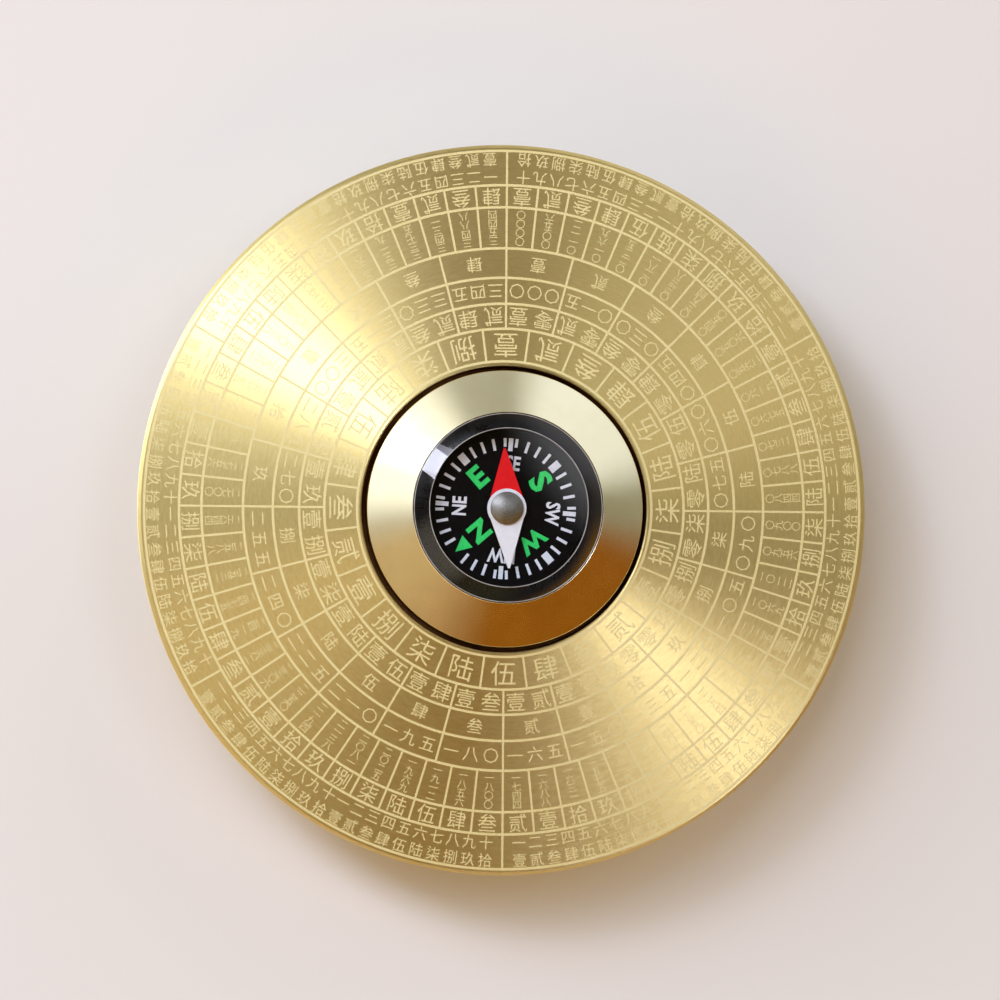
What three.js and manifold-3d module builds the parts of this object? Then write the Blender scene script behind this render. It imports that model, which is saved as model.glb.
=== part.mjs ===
import * as THREE from "three";
import { mergeVertices } from "three/addons/utils/BufferGeometryUtils.js";
import Module from "manifold-3d";

// A brass compass disc that spins on a small ball bearing. Two finger caps screw together through
// the bearing, and the upper one holds a button compass under a clear lens.
// It lies flat with its marked face up. Millimetres, +Z up, origin in the middle of its base.

// Brass disc
const DISC_DIAMETER = 58;
const RIM_THICKNESS = 3;
const FACE_CHAMFER = 0.25;
const BACK_CHAMFER = 0.5;
const HUB_DIAMETER = 25;
const HUB_CHAMFER = 0.4;
const BORE_CHAMFER = 0.12;
const BEARING_LIP = 0.6;
const BEARING_LIP_OVERLAP = 0.75;
const BEARING_SUNK = 0.3;

// Finger caps
const CAP_DIAMETER = 21.94;
const CAP_GAP = 0.4;
const CAP_UNDER_GAP = 0.3;
const CAP_EDGE_CHAMFER = 0.12;
const CAP_SUNK = 2;
const CAP_RIM_PROUD = 0.5;
const CAP_CONE_RISE = 2.45;
const BOTTOM_CAP_THICKNESS = 2.2;
const BASE_DIAMETER = 17.4;
const BASE_BEVEL_HEIGHT = 1.3;
const FINGER_DISH_DIAMETER = 13.6;
const FINGER_DISH_DEPTH = 0.45;
const SHOULDER_WIDTH = 0.85;
const STEM_GAP = 0.3;
const STUD_DIAMETER = 3.8;
const STUD_LENGTH = 2.6;
const STUD_CHAMFER = 0.3;

// Ball bearing
const BEARING_BORE = 6.35;
const BEARING_DIAMETER = 12.7;
const BEARING_WIDTH = 4.76;
const BEARING_CHAMFER = 0.25;
const BALL_DIAMETER = 1.588;
const PITCH_DIAMETER = 9.525;
const BALL_COUNT = 10;
const GROOVE_DEPTH = 0.31;
const SHIELD_THICKNESS = 0.2;
const SHIELD_SUNK = 0.15;
const SHIELD_SEAT = 0.5;
const CAGE_WALL = 0.56;
const CAGE_BACK = 0.5;
const CAGE_OPEN_SIDE = 0.55;

// Button compass
const CAPSULE_DIAMETER = 14.92;
const CAPSULE_WALL = 1.15;
const CAPSULE_FLOOR = 1;
const DIAL_THICKNESS = 0.15;
const DIAL_ABOVE_FACE = 0.8;
const DIAL_HOLE_CLEARANCE = 0.1;
const ADHESIVE_THICKNESS = 0.15;
const ADHESIVE_INSET = 0.8;
const LENS_EDGE = 0.2;
const LENS_PROUD = 0.45;
const LENS_FLAT_DIAMETER = 12.52;
const LENS_SPIGOT = 0.2;
const PIN_DIAMETER = 0.7;
const PIN_TIP_LENGTH = 0.4;
const PIN_SEAT_DEPTH = 0.5;

// Needle
const NEEDLE_LENGTH = 9.48;
const NEEDLE_THICKNESS = 0.15;
const NEEDLE_ABOVE_DIAL = 0.75;
const NEEDLE_WEDGE_DEGREES = 17.4;
const NEEDLE_COLLAR_DIAMETER = 3.1;
const NEEDLE_TIP_WIDTH = 0.16;
const NEEDLE_TURN_DEGREES = 2.1;
const NEEDLE_CAP_DIAMETER = 2.6;
const NEEDLE_CAP_SIDE = 0.22;
const NEEDLE_CAP_DOME = 0.34;
const NEEDLE_STEM_DIAMETER = 1.3;
const NEEDLE_STEM_BELOW = 0.2;
const PIVOT_GAP = 0.07;

// Clearance of pieces that are pressed, screwed or glued together, and of those that turn close together
const SEAT_CLEARANCE = 0.06;
const RUNNING_CLEARANCE = 0.1;

// Facets round a full turn
const DISC_SIDES = 96;
const CAP_SIDES = 64;
const CAPSULE_SIDES = 56;
const RACE_SIDES = 40;
const NEEDLE_SIDES = 32;
const PIN_SIDES = 16;
const BALL_SIDES = 12;
const BALL_BANDS = 8;
const ARC_STEPS = 5;

// Heights, from the base up
const hubBack = BOTTOM_CAP_THICKNESS + CAP_UNDER_GAP;
const bearingBottom = hubBack + BEARING_SUNK;
const bearingTop = bearingBottom + BEARING_WIDTH;
const bearingMiddle = (bearingBottom + bearingTop) / 2;
const recessFloor = bearingTop + BEARING_LIP;
const topCapBase = recessFloor + CAP_UNDER_GAP;
const face = topCapBase + CAP_SUNK;
const capRim = face + CAP_RIM_PROUD;
const capTop = capRim + CAP_CONE_RISE;
const lensTop = capTop + LENS_PROUD;
const lensSeat = capTop - LENS_EDGE;
const dialTop = face + DIAL_ABOVE_FACE;
const dialBottom = dialTop - DIAL_THICKNESS;
const capsuleBottom = dialBottom - CAPSULE_FLOOR;
const capsuleSeat = capsuleBottom - ADHESIVE_THICKNESS;
const pinSeat = dialBottom - PIN_SEAT_DEPTH;
const bladeBottom = dialTop + NEEDLE_ABOVE_DIAL;
const bladeTop = bladeBottom + NEEDLE_THICKNESS;
const needleTop = bladeTop + NEEDLE_CAP_SIDE + NEEDLE_CAP_DOME;

// Radii that several pieces share
const capRadius = CAP_DIAMETER / 2;
const stemRadius = BEARING_BORE / 2 - SEAT_CLEARANCE;
const shoulderRadius = BEARING_BORE / 2 + SHOULDER_WIDTH;
const capsuleRadius = CAPSULE_DIAMETER / 2;
const chamberRadius = capsuleRadius - CAPSULE_WALL;
const pitchRadius = PITCH_DIAMETER / 2;
const ballRadius = BALL_DIAMETER / 2;
const grooveRadius = ballRadius + SEAT_CLEARANCE;
const innerLandRadius = pitchRadius - ballRadius + GROOVE_DEPTH;
const outerLandRadius = pitchRadius + ballRadius - GROOVE_DEPTH;
const shieldSeatRadius = outerLandRadius + SHIELD_SEAT;

const wasm = await Module();
wasm.setup();

// A closed solid from any closed geometry, without its zero-area faces.
function solidFrom(geometry) {
  const bare = geometry.index ? geometry.toNonIndexed() : geometry.clone();
  bare.deleteAttribute("normal");
  bare.deleteAttribute("uv");
  const merged = mergeVertices(bare);
  const corners = merged.index.array;
  const kept = [];
  for (let i = 0; i < corners.length; i += 3) {
    const [a, b, c] = [corners[i], corners[i + 1], corners[i + 2]];
    if (a !== b && b !== c && c !== a) kept.push(a, b, c);
  }
  return new wasm.Manifold(
    new wasm.Mesh({
      numProp: 3,
      vertProperties: merged.attributes.position.array,
      triVerts: new Uint32Array(kept),
    }),
  );
}

function geometryOf(solid) {
  const mesh = solid.getMesh();
  const geometry = new THREE.BufferGeometry();
  geometry.setAttribute("position", new THREE.BufferAttribute(mesh.vertProperties, mesh.numProp));
  geometry.setIndex(new THREE.BufferAttribute(mesh.triVerts, 1));
  geometry.computeVertexNormals();
  return geometry;
}

// A body turned about +Z. Its profile is a list of [radius, height], up the outside and back inside.
function turned(profile, sides) {
  const points = profile.map(([radius, height]) => new THREE.Vector2(radius, height));
  const geometry = new THREE.LatheGeometry(points, sides);
  geometry.rotateX(Math.PI / 2);
  return solidFrom(geometry);
}

// A turned ring, whose profile closes on itself.
function turnedRing(profile, sides) {
  return turned([...profile, profile[0]], sides);
}

// Points on an arc about [radius, height], with angles from the outward direction.
function arc(radius, height, size, from, to, steps = ARC_STEPS) {
  return Array.from({ length: steps + 1 }, (_, i) => {
    const angle = from + ((to - from) * i) / steps;
    return [radius + size * Math.cos(angle), height + size * Math.sin(angle)];
  });
}

// A plain washer between two radii and two heights.
function washer(inner, outer, low, high, sides) {
  return turnedRing(
    [
      [inner, low],
      [outer, low],
      [outer, high],
      [inner, high],
    ],
    sides,
  );
}

function makeDisc() {
  const rim = DISC_DIAMETER / 2;
  const bore = capRadius + CAP_GAP;
  const hub = HUB_DIAMETER / 2;
  const pocket = BEARING_DIAMETER / 2 + SEAT_CLEARANCE;
  const lip = BEARING_DIAMETER / 2 - BEARING_LIP_OVERLAP;
  return turnedRing(
    [
      [pocket, hubBack],
      [hub - HUB_CHAMFER, hubBack],
      [hub, hubBack + HUB_CHAMFER],
      [rim - BACK_CHAMFER, face - RIM_THICKNESS],
      [rim, face - RIM_THICKNESS + BACK_CHAMFER],
      [rim, face - FACE_CHAMFER],
      [rim - FACE_CHAMFER, face],
      [bore + BORE_CHAMFER, face],
      [bore, face - BORE_CHAMFER],
      [bore, recessFloor],
      [lip, recessFloor],
      [lip, bearingTop],
      [pocket, bearingTop],
    ],
    DISC_SIDES,
  );
}

function makeTopCap() {
  const recess = capsuleRadius + SEAT_CLEARANCE;
  const bore = STUD_DIAMETER / 2 + SEAT_CLEARANCE;
  const stemEnd = bearingMiddle + STEM_GAP / 2;
  const boreTop = bearingMiddle - STEM_GAP / 2 + STUD_LENGTH + STEM_GAP;
  return turned(
    [
      [0, boreTop],
      [bore, boreTop],
      [bore, stemEnd],
      [stemRadius, stemEnd],
      [stemRadius, bearingTop],
      [shoulderRadius, bearingTop],
      [shoulderRadius, topCapBase],
      [capRadius - CAP_EDGE_CHAMFER, topCapBase],
      [capRadius, topCapBase + CAP_EDGE_CHAMFER],
      [capRadius, capRim - CAP_EDGE_CHAMFER],
      [capRadius - CAP_EDGE_CHAMFER, capRim],
      [recess, capTop],
      [recess, capsuleSeat],
      [0, capsuleSeat],
    ],
    CAP_SIDES,
  );
}

function makeBottomCap() {
  const base = BASE_DIAMETER / 2;
  const stud = STUD_DIAMETER / 2;
  const stemEnd = bearingMiddle - STEM_GAP / 2;
  const dish = FINGER_DISH_DIAMETER / 2;
  const dishRadius = (dish ** 2 + FINGER_DISH_DEPTH ** 2) / (2 * FINGER_DISH_DEPTH);
  const dishEdge = Math.acos(dish / dishRadius);
  const hollow = arc(0, FINGER_DISH_DEPTH - dishRadius, dishRadius, Math.PI / 2, dishEdge);
  hollow[0][0] = 0;
  hollow[ARC_STEPS][1] = 0;
  return turned(
    [
      ...hollow,
      [base, 0],
      [capRadius, BASE_BEVEL_HEIGHT],
      [capRadius, BOTTOM_CAP_THICKNESS - CAP_EDGE_CHAMFER],
      [capRadius - CAP_EDGE_CHAMFER, BOTTOM_CAP_THICKNESS],
      [shoulderRadius, BOTTOM_CAP_THICKNESS],
      [shoulderRadius, bearingBottom],
      [stemRadius, bearingBottom],
      [stemRadius, stemEnd],
      [stud, stemEnd],
      [stud, stemEnd + STUD_LENGTH - STUD_CHAMFER],
      [stud - STUD_CHAMFER, stemEnd + STUD_LENGTH],
      [0, stemEnd + STUD_LENGTH],
    ],
    CAP_SIDES,
  );
}

// The angle on a ball groove at which it comes out on a race's land.
function grooveEnd(landRadius) {
  return Math.acos(Math.abs(landRadius - pitchRadius) / grooveRadius);
}

function makeInnerRace() {
  const bore = BEARING_BORE / 2;
  const end = grooveEnd(innerLandRadius);
  return turnedRing(
    [
      [bore, bearingBottom + BEARING_CHAMFER],
      [bore + BEARING_CHAMFER, bearingBottom],
      [innerLandRadius, bearingBottom],
      ...arc(pitchRadius, bearingMiddle, grooveRadius, Math.PI + end, Math.PI - end),
      [innerLandRadius, bearingTop],
      [bore + BEARING_CHAMFER, bearingTop],
      [bore, bearingTop - BEARING_CHAMFER],
    ],
    RACE_SIDES,
  );
}

function makeOuterRace() {
  const outside = BEARING_DIAMETER / 2;
  const end = grooveEnd(outerLandRadius);
  const seat = SHIELD_SUNK + SHIELD_THICKNESS;
  return turnedRing(
    [
      [shieldSeatRadius, bearingBottom],
      [outside - BEARING_CHAMFER, bearingBottom],
      [outside, bearingBottom + BEARING_CHAMFER],
      [outside, bearingTop - BEARING_CHAMFER],
      [outside - BEARING_CHAMFER, bearingTop],
      [shieldSeatRadius, bearingTop],
      [shieldSeatRadius, bearingTop - seat],
      [outerLandRadius, bearingTop - seat],
      ...arc(pitchRadius, bearingMiddle, grooveRadius, end, -end),
      [outerLandRadius, bearingBottom + seat],
      [shieldSeatRadius, bearingBottom + seat],
    ],
    RACE_SIDES,
  );
}

function makeShield(low) {
  const inner = innerLandRadius + RUNNING_CLEARANCE;
  const outer = shieldSeatRadius - SEAT_CLEARANCE;
  return washer(inner, outer, low, low + SHIELD_THICKNESS, RACE_SIDES);
}

// The centre of each ball, spaced evenly on the pitch circle.
const ballCentres = Array.from({ length: BALL_COUNT }, (_, i) => {
  const angle = (2 * Math.PI * i) / BALL_COUNT;
  return new THREE.Vector3(
    pitchRadius * Math.cos(angle),
    pitchRadius * Math.sin(angle),
    bearingMiddle,
  );
});

function ballAt(centre, radius) {
  const geometry = new THREE.SphereGeometry(radius, BALL_SIDES, BALL_BANDS);
  geometry.rotateX(Math.PI / 2);
  geometry.translate(centre.x, centre.y, centre.z);
  return solidFrom(geometry);
}

// A crown cage: a ring whose ball pockets break out through its lower edge.
function makeCage() {
  const ring = washer(
    pitchRadius - CAGE_WALL / 2,
    pitchRadius + CAGE_WALL / 2,
    bearingMiddle - CAGE_OPEN_SIDE,
    bearingMiddle + ballRadius + CAGE_BACK,
    RACE_SIDES,
  );
  const pocket = ballRadius / Math.cos(Math.PI / BALL_SIDES) + RUNNING_CLEARANCE;
  return ballCentres.reduce((left, centre) => left.subtract(ballAt(centre, pocket)), ring);
}

function makeCapsuleCup() {
  const seat = PIN_DIAMETER / 2 + SEAT_CLEARANCE;
  return turned(
    [
      [0, capsuleBottom],
      [capsuleRadius, capsuleBottom],
      [capsuleRadius, lensSeat],
      [chamberRadius, lensSeat],
      [chamberRadius, dialBottom],
      [seat, dialBottom],
      [seat, pinSeat],
      [0, pinSeat],
    ],
    CAPSULE_SIDES,
  );
}

function makeLens() {
  const spigot = chamberRadius - SEAT_CLEARANCE;
  return turned(
    [
      [0, lensSeat - LENS_SPIGOT],
      [spigot, lensSeat - LENS_SPIGOT],
      [spigot, lensSeat],
      [capsuleRadius, lensSeat],
      [capsuleRadius, capTop],
      [LENS_FLAT_DIAMETER / 2, lensTop],
      [0, lensTop],
    ],
    CAPSULE_SIDES,
  );
}

function makeDial() {
  const hole = PIN_DIAMETER / 2 + DIAL_HOLE_CLEARANCE;
  return washer(hole, chamberRadius - SEAT_CLEARANCE, dialBottom, dialTop, CAPSULE_SIDES);
}

function makeAdhesive() {
  const radius = capsuleRadius - ADHESIVE_INSET;
  return turned(
    [
      [0, capsuleSeat],
      [radius, capsuleSeat],
      [radius, capsuleBottom],
      [0, capsuleBottom],
    ],
    CAPSULE_SIDES,
  );
}

// The point of the pivot pin stands as high as the middle of the needle's cap.
const pinTip = (bladeTop + needleTop) / 2;

function makePivotPin() {
  const radius = PIN_DIAMETER / 2;
  return turned(
    [
      [0, pinSeat],
      [radius, pinSeat],
      [radius, pinTip - PIN_TIP_LENGTH],
      [0, pinTip],
    ],
    PIN_SIDES,
  );
}

// The needle's cap is a low dome with a stem through the blade and a cone inside for the pivot.
function makeNeedleCap() {
  const radius = NEEDLE_CAP_DIAMETER / 2;
  const stem = NEEDLE_STEM_DIAMETER / 2 - SEAT_CLEARANCE;
  const side = bladeTop + NEEDLE_CAP_SIDE;
  const domeRadius = (radius ** 2 + NEEDLE_CAP_DOME ** 2) / (2 * NEEDLE_CAP_DOME);
  const domeEdge = Math.acos(radius / domeRadius);
  const dome = arc(0, needleTop - domeRadius, domeRadius, domeEdge, Math.PI / 2);
  dome[ARC_STEPS][0] = 0;
  const mouth = PIN_DIAMETER / 2 + PIVOT_GAP;
  return turned(
    [
      [0, pinTip + PIVOT_GAP],
      [mouth, pinTip + PIVOT_GAP - PIN_TIP_LENGTH],
      [mouth, bladeBottom - NEEDLE_STEM_BELOW],
      [stem, bladeBottom - NEEDLE_STEM_BELOW],
      [stem, bladeTop],
      [radius, bladeTop],
      [radius, side],
      ...dome.slice(1),
    ],
    NEEDLE_SIDES,
  );
}

// The blade is a long diamond with a round collar in its middle, pierced for the cap's stem.
function makeNeedleBlade() {
  const reach = NEEDLE_LENGTH / 2;
  const collar = NEEDLE_COLLAR_DIAMETER / 2;
  const tip = NEEDLE_TIP_WIDTH / 2;
  const wedge = THREE.MathUtils.degToRad(NEEDLE_WEDGE_DEGREES);
  const away = reach * Math.sin(wedge) + tip * Math.cos(wedge);
  const join = Math.min(wedge + Math.acos(Math.min(away / collar, 1)), Math.PI / 2);
  const outline = new THREE.Shape();
  outline.moveTo(-tip, reach);
  outline.absarc(0, 0, collar, Math.PI - join, Math.PI + join, false);
  outline.lineTo(-tip, -reach);
  outline.lineTo(tip, -reach);
  outline.absarc(0, 0, collar, -join, join, false);
  outline.lineTo(tip, reach);
  outline.closePath();
  const hole = new THREE.Path();
  hole.absarc(0, 0, NEEDLE_STEM_DIAMETER / 2, 0, 2 * Math.PI, true);
  outline.holes.push(hole);
  const geometry = new THREE.ExtrudeGeometry(outline, {
    depth: NEEDLE_THICKNESS,
    bevelEnabled: false,
    curveSegments: NEEDLE_SIDES / 2,
  });
  geometry.rotateZ(THREE.MathUtils.degToRad(NEEDLE_TURN_DEGREES));
  geometry.translate(0, 0, bladeBottom);
  return solidFrom(geometry);
}

const materials = {
  turnedBrass: new THREE.MeshStandardMaterial({ color: 0xc9ab62, metalness: 1, roughness: 0.35 }),
  polishedBrass: new THREE.MeshStandardMaterial({ color: 0xd6b468, metalness: 1, roughness: 0.12 }),
  bearingSteel: new THREE.MeshStandardMaterial({ color: 0xb9bcc0, metalness: 1, roughness: 0.2 }),
  ballSteel: new THREE.MeshStandardMaterial({ color: 0xd5d7da, metalness: 1, roughness: 0.08 }),
  cageNylon: new THREE.MeshStandardMaterial({ color: 0xd8cfb4, metalness: 0, roughness: 0.55 }),
  blackPlastic: new THREE.MeshStandardMaterial({ color: 0x101012, metalness: 0, roughness: 0.3 }),
  clearPlastic: new THREE.MeshStandardMaterial({
    color: 0xf4f6f7,
    metalness: 0,
    roughness: 0.04,
    transparent: true,
    opacity: 0.3,
  }),
  dialCard: new THREE.MeshStandardMaterial({ color: 0x0b0c0e, metalness: 0, roughness: 0.6 }),
  adhesive: new THREE.MeshStandardMaterial({ color: 0xd9d2bd, metalness: 0, roughness: 0.8 }),
  needlePaint: new THREE.MeshStandardMaterial({ color: 0xe01a22, metalness: 0, roughness: 0.4 }),
  needleMetal: new THREE.MeshStandardMaterial({ color: 0xa7a7a2, metalness: 1, roughness: 0.3 }),
};

function named(name, solid, material) {
  const mesh = new THREE.Mesh(geometryOf(solid), material);
  mesh.name = name;
  return mesh;
}

// The two caps, the compass and the inner race stand still while the disc spins.
const hub = new THREE.Group();
hub.add(
  named("bottom_cap", makeBottomCap(), materials.polishedBrass),
  named("top_cap", makeTopCap(), materials.polishedBrass),
  named("bearing_inner_race", makeInnerRace(), materials.bearingSteel),
  named("adhesive_pad", makeAdhesive(), materials.adhesive),
  named("capsule_cup", makeCapsuleCup(), materials.blackPlastic),
  named("dial", makeDial(), materials.dialCard),
  named("pivot_pin", makePivotPin(), materials.needleMetal),
  named("capsule_lens", makeLens(), materials.clearPlastic),
);

const spinner = new THREE.Group();
spinner.add(
  named("disc", makeDisc(), materials.turnedBrass),
  named("bearing_outer_race", makeOuterRace(), materials.bearingSteel),
  named("bearing_shield_top", makeShield(bearingTop - SHIELD_SUNK - SHIELD_THICKNESS), materials.bearingSteel),
  named("bearing_shield_bottom", makeShield(bearingBottom + SHIELD_SUNK), materials.bearingSteel),
);

const ballSet = new THREE.Group();
ballSet.add(named("bearing_cage", makeCage(), materials.cageNylon));
ballCentres.forEach((centre, i) => {
  ballSet.add(named(`bearing_ball_${i + 1}`, ballAt(centre, ballRadius), materials.ballSteel));
});

const needle = new THREE.Group();
needle.add(
  named("needle_blade", makeNeedleBlade(), materials.needlePaint),
  named("needle_cap", makeNeedleCap(), materials.needleMetal),
);

const compass = new THREE.Group();
compass.add(hub, spinner, ballSet, needle);

export default compass;
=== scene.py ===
"""Looks of a brass compass disc that spins on a ball bearing.

The disc lies face up on its lower cap. Sizes are in metres.
"""

import math

import bmesh
import bpy
from mathutils import Matrix, Vector
from mathutils.geometry import tessellate_polygon


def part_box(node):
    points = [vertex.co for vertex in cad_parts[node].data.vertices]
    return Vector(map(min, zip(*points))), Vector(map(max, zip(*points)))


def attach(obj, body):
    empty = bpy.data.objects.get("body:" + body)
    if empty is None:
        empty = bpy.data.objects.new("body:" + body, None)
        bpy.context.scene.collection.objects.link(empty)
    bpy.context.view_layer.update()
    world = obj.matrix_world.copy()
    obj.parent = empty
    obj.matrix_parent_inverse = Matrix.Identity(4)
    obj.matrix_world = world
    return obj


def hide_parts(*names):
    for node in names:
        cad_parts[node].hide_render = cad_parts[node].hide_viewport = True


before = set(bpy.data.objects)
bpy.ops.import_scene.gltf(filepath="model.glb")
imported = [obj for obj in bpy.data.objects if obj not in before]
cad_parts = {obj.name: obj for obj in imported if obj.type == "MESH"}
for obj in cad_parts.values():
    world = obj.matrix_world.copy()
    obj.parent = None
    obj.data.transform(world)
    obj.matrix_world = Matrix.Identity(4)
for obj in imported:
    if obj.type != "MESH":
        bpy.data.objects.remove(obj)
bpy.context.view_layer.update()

MM = 0.001

# Corners of the solids
DISC_LOW, DISC_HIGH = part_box("disc")
TOP_LOW, TOP_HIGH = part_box("top_cap")
_, BOTTOM_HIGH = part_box("bottom_cap")
CUP_LOW, CUP_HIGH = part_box("capsule_cup")
LENS_LOW, LENS_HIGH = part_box("capsule_lens")
DIAL_LOW, DIAL_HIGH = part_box("dial")
BLADE_LOW, BLADE_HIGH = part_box("needle_blade")
HUB_LOW, HUB_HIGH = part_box("needle_cap")
PIN_LOW, PIN_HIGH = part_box("pivot_pin")
OUTER_LOW, OUTER_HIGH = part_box("bearing_outer_race")
INNER_LOW, INNER_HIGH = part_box("bearing_inner_race")
PAD_LOW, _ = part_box("adhesive_pad")
FACE = DISC_HIGH.z

# Clearance between pieces that are pressed, screwed or glued together
SEAT_CLEARANCE = 0.06 * MM

# Sizes inside the disc
RIM_THICKNESS = 3 * MM
FACE_CHAMFER = 0.25 * MM
BACK_CHAMFER = 0.5 * MM
BORE_CHAMFER = 0.12 * MM
DISC_EDGE = 0.08 * MM
HUB_RADIUS = 12.5 * MM
HUB_CHAMFER = 0.4 * MM
BEARING_LIP = 0.6 * MM
BEARING_LIP_OVERLAP = 0.75 * MM

# Sizes inside the caps
CAP_GAP = 0.4 * MM
CAP_RIM_PROUD = 0.5 * MM
CAP_SUNK = 2 * MM
CAP_EDGE = 0.12 * MM
CAP_FLANGE = 2.2 * MM
BASE_RADIUS = 8.7 * MM
BASE_BEVEL_HEIGHT = 1.3 * MM
DISH_RADIUS = 6.8 * MM
DISH_DEPTH = 0.45 * MM
BEARING_BORE = 3.175 * MM
SHOULDER = BEARING_BORE + 0.85 * MM
STUD_RADIUS = 1.9 * MM
STUD_LENGTH = 2.6 * MM
STUD_CHAMFER = 0.3 * MM

# How far past the running gap's walls its faces are looked for
GAP_REACH = 0.05 * MM

# Sizes inside the bearing
RACE_CHAMFER = 0.25 * MM
PITCH_RADIUS = 4.7625 * MM
BALL_RADIUS = 0.794 * MM
GROOVE_RADIUS = BALL_RADIUS + SEAT_CLEARANCE
GROOVE_DEPTH = 0.31 * MM
SHIELD_SEAT = 0.5 * MM
SHIELD_LEDGE = 0.35 * MM
BALL_COUNT = 10

# Sizes inside the button compass
CAPSULE_WALL = 1.15 * MM
LENS_FLAT_RADIUS = 6.26 * MM
LENS_EDGE = 0.035 * MM
DIAL_CLEARANCE = 0.1 * MM
NEEDLE_COLLAR = 1.55 * MM
NEEDLE_HOLE = 0.65 * MM
NEEDLE_REACH = 4.74 * MM
NEEDLE_TIP_HALF = 0.08 * MM
NEEDLE_TURN = math.radians(2.1)
NEEDLE_WEDGE = math.radians(17.4)
NEEDLE_CAP_SIDE = 0.22 * MM
NEEDLE_CAP_DOME = 0.34 * MM
PIN_TIP_LENGTH = 0.4 * MM
PIVOT_GAP = 0.07 * MM

# Marks on the disc: the rings' radii from the outer line to the inner one, and the cells
# in each band between them. An em is the height of a numeral. The turn, the row's margin
# and the steps are in degrees.
RING_RADII = [r * MM for r in (28.5, 25.76, 24.0, 20.73, 18.38, 16.31, 14.32, 11.73)]
LINE_WIDTH = 0.2 * MM
DIVIDER_WIDTH = 0.17 * MM
MARK_PROUD = 0.006 * MM
MARK_SUNK = 0.02 * MM
MARK_TURN = 0.4
PLAIN_DIGITS = "〇一二三四五六七八九十"
FORMAL_DIGITS = "零壹贰叁肆伍陆柒捌玖拾"
SECTORS = 6
SMALL_CELLS = 64
CELLS = 24
BAND_CELLS = (SECTORS, SMALL_CELLS, SMALL_CELLS, CELLS, CELLS, CELLS, CELLS)
ROW_BAND, SMALL_BAND, STACK_BAND, OUTER_MIXED, INNER_MIXED, PAIR_BAND, LARGE_BAND = range(7)
ROWS = ((26.44 * MM, PLAIN_DIGITS), (27.82 * MM, FORMAL_DIGITS))
ROW_COUNT = 20
ROW_MARGIN = 1.4
ROW_EM = 1.17 * MM
SMALL_EM = 1.56 * MM
STACK_DIGITS = 4
STACK_EM = 0.8 * MM
STACK_MARGIN = 0.12 * MM
TRIPLE_EM = 1.32 * MM
TRIPLE_STEP = 4.67
PAIR_EM = 1.62 * MM
PAIR_STEP = 3.8
LARGE_EM = 2.1 * MM
LARGE_CYCLE = 8

# Print on the dial, with angles clockwise from the top. A letter has its radius in
# millimetres and its angle, and a single one also its share of the em.
NORTH = 229.5
TICKS = 36
TICK_OUTER = 5.59 * MM
TICK_INNER = 4.66 * MM
TICK_SHORT_INNER = 4.9 * MM
TICK_LONG_INNER = 4.56 * MM
TICK_WIDTH = 0.23 * MM
TICK_LONG_WIDTH = 0.36 * MM
BLOCK_WIDTH = 0.6 * MM
PRINT_THICKNESS = 0.012 * MM
LETTERS = (
    ("N", 2.75, 229.6, 1),
    ("E", 3.34, 318.9, 1.1),
    ("S", 3.53, 52, 1.17),
    ("W", 3.32, 140.5, 0.9),
)
PAIRS = (("NE", 3.7, 273.4), ("SE", 3.65, 9.2), ("SW", 3.74, 96.4), ("NW", 3.75, 185.8))
LETTER_EM = 2.08 * MM
LETTER_BOLD = 0.04
LETTER_WIDTH = 1.06
PAIR_LETTER_EM = 1.54 * MM
PAIR_LETTER_WIDTH = 0.78
PAIR_LETTER_BOLD = 0.03
ARROW_BASE = 3.99 * MM
ARROW_TIP = 5.27 * MM
ARROW_HALF_WIDTH = 0.63 * MM

# Lathe rings of the turned brass: how far they lean outwards, their turn from the straight
# radius as a share of a full turn, and the radius that keeps the middle from dividing by zero
RING_LEAN = 0.18
RING_TWIST = 0.25 + 8 / 360
LEAST_RADIUS = 1e-5

# Clear cover: how strongly it mirrors, and the tint of what it mirrors
COVER_IOR = 1.62
COVER_TINT = (1, 0.96, 0.86, 1)

# Fineness of the meshes
TURNED_SIDES = 256
RACE_SIDES = 128
BALL_SIDES = 48
FILLET_STEPS = 5
ARC_STEPS = 24
LONG_PART = 0.4 * MM
FIRM_REACH = 0.04 * MM
CREASE = math.radians(28)
ON_AXIS = 1e-9

# Glyphs, in ems: how far a numeral's middle lies above its line's middle, half the thickness
# and the distance at which points are welded. The steps of a curve are a count.
GLYPH_MIDDLE = 0.08
GLYPH_HALF = 0.5
GLYPH_WELD = 1e-5
GLYPH_STEPS = 2

# Camera: the direction to it, and how far to the right of the disc's middle and above it
# the camera's axis runs
CAMERA_DIRECTION = (-0.102, -0.037, 0.994)
CAMERA_DISTANCE = 0.335
CAMERA_AIM = (-0.371 * MM, 0.71 * MM)
CAMERA_LENS = 152.1
CAMERA_SENSOR = 36
CAMERA_NEAR = 0.01
CAMERA_FAR = 20

# Key lamp and its bright core: two ends by azimuth and elevation, and the strength
KEY_DISTANCE = 0.6
KEY_WIDTH = 0.13
KEY_COLOUR = (1.0, 1.06, 1.4)
LAMPS = (
    ("key", (303, 16), (340, 75), 3.2),
    ("key_core", (308, 43), (308, 57), 10.8),
)

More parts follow.
